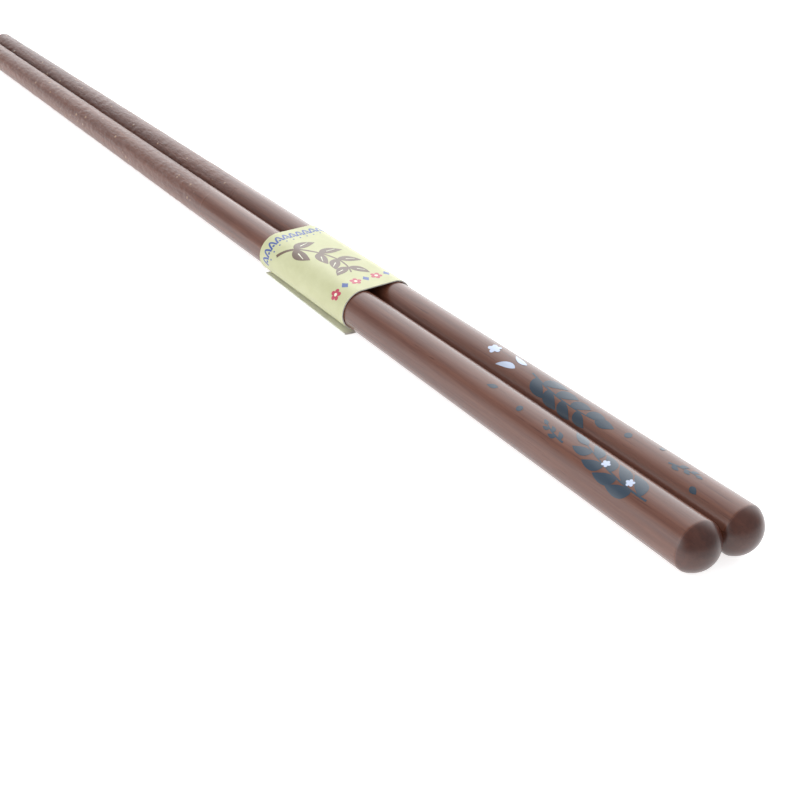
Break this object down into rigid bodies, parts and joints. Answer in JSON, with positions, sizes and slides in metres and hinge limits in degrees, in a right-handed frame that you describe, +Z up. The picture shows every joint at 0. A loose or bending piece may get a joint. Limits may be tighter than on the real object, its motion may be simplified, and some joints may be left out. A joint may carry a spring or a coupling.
{
  "type": "pair of wooden chopsticks",
  "caption": "Round tapered lacquered wooden chopsticks with domed thick ends and a rough grip at the tips, held side by side by a glued paper band.",
  "frame": {"origin": "middle of the pair's footprint, on the plane that the band rests on", "axes": "+X along the pair towards the thick ends, +Y from the near stick to the far one, +Z up"},
  "size_m": [0.2256, 0.016, 0.0085],
  "materials": {
    "lacquered_wood": "brown stained wood under a clear gloss lacquer, printed near the thick ends, rough at the tips",
    "band_paper": "smooth uncoated pale yellow-green paper, printed outside",
    "slate_print": "slate-blue printed ink under the lacquer",
    "pale_print": "off-white printed ink",
    "mauve_print": "mauve-brown ink printed on the band",
    "blue_print": "blue ink printed on the band",
    "red_print": "red ink printed on the band"
  },
  "bodies": {
    "root": {"near_chopstick": "lacquered_wood", "far_chopstick": "lacquered_wood", "paper_band": "band_paper"}
  },
  "joints": []
}
